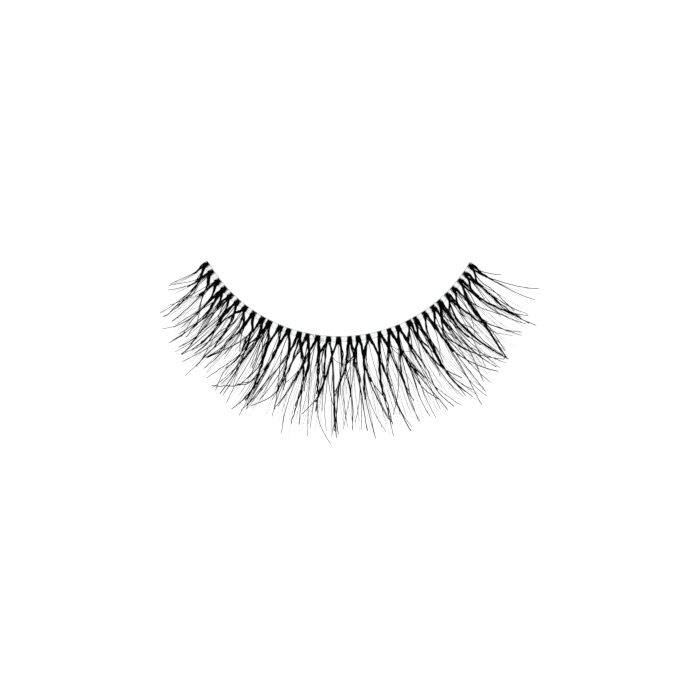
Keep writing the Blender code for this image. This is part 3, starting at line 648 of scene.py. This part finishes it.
def make_curves(name, paths, closed=False, **numbers):
    """A curves object that holds the paths, linked so that a node tree can read it."""
    data = bpy.data.hair_curves.new(name)
    data.add_curves([len(path) for path in paths])
    flat = np.array([tuple(point) for path in paths for point in path], dtype=np.float32)
    data.attributes["position"].data.foreach_set("vector", flat.ravel())
    if closed:
        cyclic = data.attributes.new("cyclic", "BOOLEAN", "CURVE")
        cyclic.data.foreach_set("value", [True] * len(paths))
    for key, values in numbers.items():
        data.attributes.new(key, "FLOAT", "CURVE").data.foreach_set("value", values)
    item = bpy.data.objects.new(name, data)
    bpy.context.scene.collection.objects.link(item)
    return item


def make_mesh_object(name, points, faces, material):
    """A shaded mesh object at the origin."""
    mesh = bpy.data.meshes.new(name)
    mesh.from_pydata([tuple(point) for point in points], [], faces)
    mesh.update()
    mesh.materials.append(material)
    mesh.shade_smooth()
    item = bpy.data.objects.new(name, mesh)
    bpy.context.scene.collection.objects.link(item)
    return item


def sweep(name, rings, material, turned=False):
    """A closed mesh object through rings of points, with its faces turned over if asked."""
    count = len(rings[0])
    points = [point for ring in rings for point in ring]
    faces = []
    for here in range(0, len(points) - count, count):
        for place in range(count):
            after = (place + 1) % count
            near = (here + place, here + after)
            faces.append((near[0], near[0] + count, near[1] + count, near[1]))
    faces.append(tuple(range(count)))
    faces.append(tuple(reversed(range(len(points) - count, len(points)))))
    if turned:
        faces = [face[:1] + face[:0:-1] for face in faces]
    return make_mesh_object(name, points, faces, material)


def set_rim(item, values):
    """Store how dense the film looks at each point."""
    rim = item.data.attributes.new("rim", "FLOAT", "POINT")
    rim.data.foreach_set("value", values)


class Tree:
    """Short way to add nodes to a tree and join them."""

    def __init__(self, tree):
        self.tree = tree

    def add(self, kind, settings=None, **values):
        """Add a node, set its own settings and its named inputs, which may be sockets."""
        node = self.tree.nodes.new(kind)
        for key, value in (settings or {}).items():
            setattr(node, key, value)
        for key, value in values.items():
            self.put(node, key.replace("_", " "), value)
        return node

    def fill(self, socket, value):
        """Link the socket to another, or set its value."""
        if isinstance(value, bpy.types.NodeSocket):
            self.tree.links.new(value, socket)
        else:
            socket.default_value = value

    def put(self, node, name, value):
        """Fill the enabled input of that name."""
        self.fill(next(s for s in node.inputs if s.enabled and s.name == name), value)

    def math(self, operation, *values, kind="ShaderNodeMath"):
        """A Math node, or a Vector Math node, with its inputs in order."""
        node = self.add(kind, {"operation": operation})
        for socket, value in zip(node.inputs, values):
            self.fill(socket, value)
        return node.outputs[0]

    def vector(self, operation, *values):
        """A Vector Math node with its inputs in order."""
        return self.math(operation, *values, kind="ShaderNodeVectorMath")

    def times(self, first, *others):
        """The product of the numbers."""
        for other in others:
            first = self.math("MULTIPLY", first, other)
        return first

    def store(self, geometry, name, value, domain="CURVE"):
        """Store a number on the geometry."""
        node = self.add(
            "GeometryNodeStoreNamedAttribute",
            {"domain": domain, "data_type": "FLOAT"},
            Geometry=geometry,
            Name=name,
            Value=value,
        )
        return node.outputs["Geometry"]

    def own(self, name):
        """Read a stored number."""
        node = self.add("GeometryNodeInputNamedAttribute", {"data_type": "FLOAT"}, Name=name)
        return next(s for s in node.outputs if s.enabled and s.name == "Attribute")

    def noise(self, scale, detail):
        """Noise that is fixed to the object."""
        place = self.add("ShaderNodeTexCoord").outputs["Object"]
        node = self.add("ShaderNodeTexNoise", Vector=place, Scale=scale, Detail=detail)
        return node.outputs["Fac"]


def fibre_tree():
    """Geometry Nodes: fibres along the guides, windings round the knot, joined to its core."""
    group = bpy.data.node_groups.new("Lash Tuft", "GeometryNodeTree")
    face = group.interface
    face.new_socket("Geometry", in_out="OUTPUT", socket_type="NodeSocketGeometry")
    kinds = [("Geometry", "Geometry"), ("Guides", "Object"), ("Windings", "Object")]
    kinds += [(name, "Float") for name, _ in TREE_SETTINGS]
    kinds += [("Seed", "Int"), ("Material", "Material")]
    for name, kind in kinds:
        face.new_socket(name, in_out="INPUT", socket_type=f"NodeSocket{kind}")
    tree = Tree(group)
    entry = tree.add("NodeGroupInput").outputs

    # One copy of a guide for each fibre of its strand, with random numbers of its own
    guides = tree.add("GeometryNodeObjectInfo", Object=entry["Guides"]).outputs["Geometry"]
    doubled = tree.add(
        "GeometryNodeDuplicateElements",
        {"domain": "SPLINE"},
        Geometry=guides,
        Amount=tree.own("count"),
    ).outputs
    copies = tree.store(doubled["Geometry"], "twin", doubled["Duplicate Index"])
    numbers = (("upward", -1.0), ("phase", 0.0), ("cut", 0.0), ("strand", 0.0), ("drift", -1.0))
    for step, (name, low) in enumerate(numbers, 2):
        seed = tree.math("ADD", entry["Seed"], float(step))
        chance = tree.add(
            "FunctionNodeRandomValue", {"data_type": "FLOAT"}, Min=low, Max=1.0, Seed=seed
        )
        copies = tree.store(copies, name, next(s for s in chance.outputs if s.enabled))

    # Each but the first is cut shorter
    later = tree.math("MINIMUM", tree.own("twin"), 1.0)
    cut = tree.times(tree.own("cut"), later, entry["Shortening"])
    length = tree.math("SUBTRACT", 1.0, cut)
    trimmed = tree.add("GeometryNodeTrimCurve", {"mode": "FACTOR"}, Curve=copies, End=length)
    evenly = tree.add(
        "GeometryNodeResampleCurve",
        {"mode": "LENGTH"},
        Curve=trimmed.outputs["Curve"],
        Length=entry["Section Length"],
    )
    level = tree.add(
        "GeometryNodeSetCurveNormal", {"mode": "Z_UP"}, Curve=evenly.outputs["Curve"]
    )

    # They lie side by side, part toward their tips, wave and crimp
    spline = tree.add("GeometryNodeSplineParameter").outputs
    along = spline["Factor"]
    opening = tree.add(
        "ShaderNodeMapRange",
        {"interpolation_type": "SMOOTHSTEP"},
        Value=along,
        From_Min=OPENING_START,
    ).outputs["Result"]
    together = tree.math("SUBTRACT", tree.own("count"), 1.0)
    fan = tree.times(entry["Fan"], together, opening)
    place = tree.math("MULTIPLY_ADD", together, -0.5, tree.own("twin"))
    half_height = tree.times(tree.math("ADD", entry["Strand Thickness"], fan), 0.5)
    turns = tree.math("MULTIPLY_ADD", along, WAVE_TURNS, tree.own("phase"))
    swing = tree.math("SINE", tree.times(turns, 2.0 * math.pi))
    wave = tree.times(swing, opening, entry["Wave"])
    swings = tree.math("DIVIDE", spline["Length"], entry["Crimp Length"])
    bends = tree.math("ADD", swings, tree.own("phase"))
    bent = tree.math("SINE", tree.times(bends, 2.0 * math.pi))
    freed = tree.math("MINIMUM", tree.times(along, CRIMP_GROWTH), 1.0)
    crimp = tree.times(entry["Crimp"], tree.own("crimp"), freed)
    wave = tree.math("MULTIPLY_ADD", bent, crimp, wave)
    parted = tree.math("MULTIPLY_ADD", tree.own("drift"), fan, wave)
    sideways = tree.math("MULTIPLY_ADD", place, entry["Fibre Spacing"], parted)
    upward = tree.times(tree.own("upward"), half_height)

    normal = tree.add("GeometryNodeInputNormal").outputs["Normal"]
    tangent = tree.add("GeometryNodeInputTangent").outputs["Tangent"]
    across = tree.vector("CROSS_PRODUCT", normal, tangent)

    def scaled(vector, number):
        """A vector times a number."""
        node = tree.add("ShaderNodeVectorMath", {"operation": "SCALE"}, Vector=vector, Scale=number)
        return node.outputs["Vector"]

    offset = tree.vector("ADD", scaled(normal, sideways), scaled(across, upward))
    moved = tree.add("GeometryNodeSetPosition", Geometry=level.outputs["Curve"], Offset=offset)
    noted = tree.store(moved.outputs["Geometry"], "along", along, domain="POINT")

    # Round tubes that thin toward their tips, and the windings
    thinner = tree.math("POWER", along, TIP_POWER)
    stout = tree.times(entry["Root Radius"], tree.own("size"))
    lost = tree.times(thinner, tree.math("SUBTRACT", 1.0, entry["Tip Share"]))
    radius = tree.times(stout, tree.math("SUBTRACT", 1.0, lost))
    ring = tree.add("GeometryNodeCurvePrimitiveCircle", Resolution=FIBRE_SIDES, Radius=1.0)
    fibres = tree.add(
        "GeometryNodeCurveToMesh",
        Curve=noted,
        Profile_Curve=ring.outputs["Curve"],
        Scale=radius,
        Fill_Caps=True,
    )
    loops = tree.add("GeometryNodeObjectInfo", Object=entry["Windings"]).outputs["Geometry"]
    wound = tree.add(
        "GeometryNodeCurveToMesh",
        Curve=loops,
        Profile_Curve=ring.outputs["Curve"],
        Scale=entry["Winding Radius"],
    )
    both = tree.add("GeometryNodeJoinGeometry")
    for piece in (entry["Geometry"], fibres.outputs["Mesh"], wound.outputs["Mesh"]):
        group.links.new(piece, both.inputs["Geometry"])
    shaded = tree.add("GeometryNodeSetShadeSmooth", Geometry=both.outputs["Geometry"])
    real = tree.add("GeometryNodeRealizeInstances", Geometry=shaded.outputs["Geometry"])
    coated = tree.add(
        "GeometryNodeSetMaterial", Geometry=real.outputs["Geometry"], Material=entry["Material"]
    )
    tree.add("NodeGroupOutput", Geometry=coated.outputs["Geometry"])
    return group


def apply_tree(item, group, values):
    """Run the tree on the object and keep its result as a plain mesh."""
    modifier = item.modifiers.new("Lash Tuft", "NODES")
    modifier.node_group = group
    for socket in group.interface.items_tree:
        if socket.in_out == "INPUT" and socket.name in values:
            modifier[socket.identifier] = values[socket.name]
    graph = bpy.context.evaluated_depsgraph_get()
    graph.update()
    made = bpy.data.meshes.new_from_object(item.evaluated_get(graph), depsgraph=graph)
    item.modifiers.clear()
    old = item.data
    item.data = made
    bpy.data.meshes.remove(old)
    made.name = item.name


def principled(name):
    """A new material with its tree helper and its shader."""
    material = bpy.data.materials.new(name)
    material.use_nodes = True
    return material, Tree(material.node_tree), material.node_tree.nodes["Principled BSDF"]


def fibre_material(settings):
    """Jet black fibre: tone and gloss differ a little from fibre to fibre and along each."""
    material, tree, shader = principled("black_fibre")
    strand = tree.add("ShaderNodeAttribute", {"attribute_name": "strand"}).outputs["Fac"]
    noise = tree.noise(2600.0, 2.0)
    tone = tree.math("MULTIPLY_ADD", strand, 0.6, tree.times(noise, 0.4))
    ramp = tree.add("ShaderNodeMix", {"data_type": "RGBA"})
    colours = (tone, (*settings.fibre_colour, 1.0), (*settings.fibre_light, 1.0))
    for socket, value in zip([s for s in ramp.inputs if s.enabled], colours):
        tree.fill(socket, value)
    tree.put(shader, "Base Color", next(s for s in ramp.outputs if s.enabled))
    tree.put(shader, "Roughness", tree.math("MULTIPLY_ADD", noise, 0.22, 0.42))
    shader.inputs["Specular IOR Level"].default_value = 0.02
    return material


def film_material(settings):
    """Clear film: nearly unseen over its middle, a little milky, denser along its rims."""
    material, tree, shader = principled("clear_film")
    rim = tree.add("ShaderNodeAttribute", {"attribute_name": "rim"}).outputs["Fac"]
    noise = tree.noise(1400.0, 3.0)
    clearest = settings.film_opacity - FILM_UNEVEN / 2
    haze = tree.math("MULTIPLY_ADD", noise, FILM_UNEVEN, clearest)
    tree.put(shader, "Alpha", tree.math("MULTIPLY_ADD", rim, RIM_OPACITY, haze))
    shader.inputs["Base Color"].default_value = (*settings.film_colour, 1.0)
    tree.put(shader, "Roughness", tree.math("MULTIPLY_ADD", noise, 0.25, 0.10))
    bump = tree.add("ShaderNodeBump", Strength=0.15, Distance=0.02 * MM, Height=noise)
    tree.put(shader, "Normal", bump.outputs["Normal"])
    shader.inputs["IOR"].default_value = 1.46
    return material


def length_setting(name, description, default, low=0.0, high=0.5 * MM):
    """A length among the settings."""
    return FloatProperty(
        name=name, description=description, default=default, min=low, max=high, unit="LENGTH",
        precision=6,
    )


def share_setting(name, description, default, low=0.0, high=1.0):
    """A share among the settings."""
    return FloatProperty(
        name=name, description=description, default=default, min=low, max=high, subtype="FACTOR"
    )


def colour_setting(name, description, default):
    """A colour among the settings."""
    return FloatVectorProperty(
        name=name, description=description, default=default, subtype="COLOR", min=0.0, max=1.0
    )


class StripLashSizes(bpy.types.PropertyGroup):
    """Sizes and colours of the strip lash."""

    section_length: length_setting(
        "Section Length", "Length of one section along a fibre", 0.28 * MM, 0.1 * MM, 2.0 * MM
    )
    crimp: length_setting(
        "Crimp", "How far the fibres of a strand swing apart and together again", 0.040 * MM
    )
    crimp_length: length_setting(
        "Crimp Length", "Length of one such swing", 1.35 * MM, 0.3 * MM, 10.0 * MM
    )
    fibre_root: length_setting(
        "Root Radius", "Radius of a fibre at its knot", 0.062 * MM, 0.01 * MM, 0.2 * MM
    )
    fibre_tip: share_setting(
        "Tip Share", "Thickness of a fibre at its tip as a share of its root", 0.88, 0.05
    )
    winding: length_setting(
        "Winding Radius", "Radius of the thread wound round a knot", 0.030 * MM, 0.01 * MM, 0.2 * MM
    )
    fibre_spacing: length_setting(
        "Fibre Spacing", "Between the fibres of a strand, side by side", 0.085 * MM
    )
    strand_thickness: length_setting(
        "Strand Thickness", "Room for the fibres of a strand, one over another", 0.08 * MM
    )
    fan: length_setting(
        "Fan", "How far the fibres of a strand part at their tips", 0.05 * MM, high=3.0 * MM
    )
    wave: length_setting("Wave", "Sideways wander of a single fibre", 0.035 * MM, high=1.0 * MM)
    shortening: share_setting(
        "Shortening", "Greatest share by which a fibre is shorter than its strand", 0.30, high=0.9
    )
    fibre_colour: colour_setting("Fibre", "Darkest tone of the fibres", (0.0002, 0.0002, 0.0003))
    fibre_light: colour_setting(
        "Fibre Light", "Lightest tone of the fibres", (0.0016, 0.0016, 0.002)
    )
    film_colour: colour_setting("Film", "Tone of the clear film", (0.62, 0.63, 0.65))
    film_opacity: share_setting(
        "Film Opacity", "How much the film hides what lies under it", 0.24
    )


class STRIPLASH_OT_tufts(bpy.types.Operator):
    """Build every tuft: the core and windings of its knot, and its fibres"""

    bl_idname = "striplash.tufts"
    bl_label = "Knotted Tufts"

    def execute(self, context):
        """Build the tufts one by one with the same node tree."""
        settings = context.scene.strip_lash
        material = fibre_material(settings)
        group = fibre_tree()
        for number in range(len(TUFTS)):
            build_tuft(number, group, material, settings)
        bpy.data.node_groups.remove(group)
        return {"FINISHED"}


def knot_core(number, material):
    """Closed rounded block inside the windings of a knot."""
    row = TUFTS[number]
    width = KNOT_WIDTH * row[3] * CORE_SHARE
    height = KNOT_HEIGHT * CORE_SHARE
    middle = BAND_THICKNESS + KNOT_CLEARANCE + KNOT_HEIGHT / 2
    rings = []
    for share, size in CORE_ROWS:
        ring = []
        for step in range(CORE_SIDES):
            out, rise = squared(2.0 * math.pi * step / CORE_SIDES)
            station = row[0] * KNOT_PITCH + out * width * size / 2
            reach = share * KNOT_DEPTH * CORE_SHARE / 2
            ring.append(on_strip(station, reach, middle + rise * height * size / 2))
        rings.append(ring)
    return sweep(f"lashes_{number + 1:02d}", rings, material, turned=True)


def tuft_guides(number):
    """Guides of every fibre of a tuft, with how many fibres follow each, their size and crimp."""
    chance = random.Random(CHANCE_SEED + number)
    rows = []
    for side in (0, 1):
        for member in range(ROOT_FIBRES):
            rows.append((root_path(number, side, member, chance), 1, ROOT_SIZE, FULL_CRIMP))
        for lock in range(len(LOCK_SPREAD)):
            rows.append((lock_path(number, side, lock, chance), 1, LOCK_SIZE, 0.0))
    for tuft, fibres, size, reach, places in STRANDS:
        if tuft == number + 1:
            crimp = FULL_CRIMP if fibres > 1 else LONE_CRIMP
            rows.append((strand_path(number, reach * MM, places), fibres, size, crimp))
    for tuft, size, layer, reaches, places in ARCS:
        if tuft == number + 1:
            rows.append((arc_path(reaches, places, layer), 1, size, 0.0))
    if 0 < number < len(TUFTS) - 1:
        for _ in range(LOOSE_HAIRS):
            rows.append((loose_path(number, chance), 1, LOOSE_SIZE, 0.0))
    paths, counts, sizes, crimps = zip(*rows)
    return make_curves("guides", paths, count=counts, size=sizes, crimp=crimps)


def tuft_windings(number):
    """Threads wound round the knot of a tuft, side by side and then across them."""
    row = TUFTS[number]
    knot = row[0] * KNOT_PITCH
    width = KNOT_WIDTH * row[3]
    loops = []
    for step in range(RADIAL_LOOPS):
        across = (step / (RADIAL_LOOPS - 1) - 0.5) * width * RADIAL_SPAN
        loops.append(knot_loop(knot, width, 0.0, across, RADIAL_UPRIGHT))
    for place in BINDING_PLACES:
        loops.append(knot_loop(knot, width, place * KNOT_DEPTH, None, BINDING_UPRIGHT))
    return make_curves("windings", loops, closed=True)


def build_tuft(number, group, material, settings):
    """One tuft as a plain mesh in the place of its solid."""
    item = knot_core(number, material)
    guides = tuft_guides(number)
    windings = tuft_windings(number)
    values = {name: getattr(settings, key) for name, key in TREE_SETTINGS}
    values.update(Guides=guides, Windings=windings, Seed=TREE_SEED + number, Material=material)
    apply_tree(item, group, values)
    for helper in (guides, windings):
        data = helper.data
        bpy.data.objects.remove(helper, do_unlink=True)
        bpy.data.hair_curves.remove(data)
    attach(item, "root")
    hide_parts(f"tuft_{number + 1:02d}")


class STRIPLASH_OT_band(bpy.types.Operator):
    """Build the clear film of the band, with its two thicker rims"""

    bl_idname = "striplash.band"
    bl_label = "Clear Band"

    def execute(self, context):
        """Sweep the film's section along the arc of the lid."""
        material = film_material(context.scene.strip_lash)
        half = BAND_WIDTH / 2
        end = BAND_END * KNOT_PITCH
        rings = []
        for step in range(FILM_STEPS + 1):
            station = -end + 2.0 * end * step / FILM_STEPS
            from_end = min(1.0, max(0.0, (end - abs(station)) / FILM_TIP_LENGTH))
            share = FILM_TIP_SHARE + (1.0 - FILM_TIP_SHARE) * math.sqrt(from_end)
            ring = []
            for across, up, _ in FILM_SECTION:
                reach = -BAND_INSET + across * half * share
                ring.append(on_strip(station, reach, up * BAND_THICKNESS))
            rings.append(ring)
        item = sweep("film", rings, material)
        set_rim(item, [row[2] for row in FILM_SECTION] * len(rings))
        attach(item, "root")
        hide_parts("band")
        return {"FINISHED"}


class STRIPLASH_OT_thread(bpy.types.Operator):
    """Build the clear thread that ties each knot to the next"""

    bl_idname = "striplash.thread"
    bl_label = "Tie Thread"

    def execute(self, context):
        """Sweep a thin round thread from knot to knot, with some slack between them."""
        material = bpy.data.materials["clear_film"]
        knots = [row[0] * KNOT_PITCH for row in TUFTS]
        rings = []
        for step in range((len(knots) - 1) * THREAD_STEPS + 1):
            index = min(step // THREAD_STEPS, len(knots) - 2)
            share = step / THREAD_STEPS - index
            station = knots[index] + (knots[index + 1] - knots[index]) * share
            uneven = 1.0 - THREAD_UNEVEN + THREAD_UNEVEN * math.sin(THREAD_BEAT * index)
            slack = THREAD_SLACK * math.sin(math.pi * share) * uneven
            ring = []
            for side in range(THREAD_SIDES):
                turn = 2.0 * math.pi * side / THREAD_SIDES
                reach = THREAD_REACH + slack + THREAD_RADIUS * math.cos(turn)
                rise = BAND_THICKNESS + THREAD_RADIUS * (THREAD_LIFT + math.sin(turn))
                ring.append(on_strip(station, reach, rise))
            rings.append(ring)
        item = sweep("tie_thread", rings, material)
        set_rim(item, [THREAD_DENSITY] * (len(rings) * THREAD_SIDES))
        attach(item, "root")
        return {"FINISHED"}


class STRIPLASH_OT_stage(bpy.types.Operator):
    """Build the pale floor, the soft lights and the camera"""

    bl_idname = "striplash.stage"
    bl_label = "Floor, Lights, Camera"

    def execute(self, context):
        """Pale glowing floor under broad light, seen steeply from the side of the tips."""
        scene = context.scene
        material, _, shader = principled("pale_floor")
        shader.inputs["Base Color"].default_value = FLOOR_TONE
        shader.inputs["Emission Color"].default_value = WHITE
        shader.inputs["Emission Strength"].default_value = FLOOR_GLOW
        shader.inputs["Roughness"].default_value = 0.9
        shader.inputs["Specular IOR Level"].default_value = 0.0
        ways = ((-1, -1), (1, -1), (1, 1), (-1, 1))
        corners = [(x * FLOOR_REACH, y * FLOOR_REACH, 0.0) for x, y in ways]
        floor = make_mesh_object("floor", corners, [(0, 1, 2, 3)], material)

        world = bpy.data.worlds.new("studio")
        world.use_nodes = True
        background = world.node_tree.nodes["Background"]
        background.inputs["Color"].default_value = WHITE
        background.inputs["Strength"].default_value = WORLD_STRENGTH
        scene.world = world
        lamp = bpy.data.lights.new("soft_box", "AREA")
        lamp.shape = "SQUARE"
        lamp.size = LAMP_SIZE
        lamp.energy = LAMP_POWER
        lamp_item = bpy.data.objects.new("soft_box", lamp)
        lamp_item.location = LAMP_PLACE
        lamp_item.rotation_euler = (math.radians(LAMP_TILT), 0.0, 0.0)
        scene.collection.objects.link(lamp_item)

        data = bpy.data.cameras.new("camera")
        data.sensor_width = SENSOR_WIDTH
        data.lens = SENSOR_WIDTH * CAMERA_DISTANCE / FRAME_WIDTH
        data.clip_start = 0.01
        data.clip_end = 10.0
        camera = bpy.data.objects.new("camera", data)
        aim = Vector((LINE_SHIFT_X + AIM_STATION_X, LINE_SHIFT_Y + AIM_REACH_Y, 0.0))
        tilt = math.radians(CAMERA_ELEVATION)
        back = Vector((0.0, -math.cos(tilt), math.sin(tilt)))
        camera.location = aim + back * CAMERA_DISTANCE
        camera.rotation_euler = (math.radians(90.0) - tilt, 0.0, 0.0)
        scene.collection.objects.link(camera)
        scene.camera = camera
        scene.view_settings.view_transform = "Standard"
        scene.view_settings.look = "None"
        return {"FINISHED"}


class STRIPLASH_PT_panel(bpy.types.Panel):
    """Lists the sizes and the steps of the strip lash"""

    bl_idname = "STRIPLASH_PT_panel"
    bl_label = "Strip Lash"
    bl_space_type = "VIEW_3D"
    bl_region_type = "UI"
    bl_category = "Strip Lash"

    def draw(self, context):
        """Draw the settings, then a button for each step."""
        settings = context.scene.strip_lash
        column = self.layout.column()
        for name in StripLashSizes.__annotations__:
            column.prop(settings, name)
        for step in STEPS:
            column.operator(step.bl_idname, text=step.bl_label)


STEPS = (STRIPLASH_OT_band, STRIPLASH_OT_tufts, STRIPLASH_OT_thread, STRIPLASH_OT_stage)
CLASSES = (StripLashSizes, *STEPS, STRIPLASH_PT_panel)


def register():
    """Register the classes and the settings of the scene."""
    for kind in CLASSES:
        bpy.utils.register_class(kind)
    bpy.types.Scene.strip_lash = PointerProperty(type=StripLashSizes)


def unregister():
    """Undo what register did."""
    del bpy.types.Scene.strip_lash
    for kind in reversed(CLASSES):
        bpy.utils.unregister_class(kind)


def main():
    """Build the strip and the stage."""
    register()
    bpy.ops.striplash.band()
    bpy.ops.striplash.tufts()
    bpy.ops.striplash.thread()
    bpy.ops.striplash.stage()


if __name__ == "__main__":
    main()
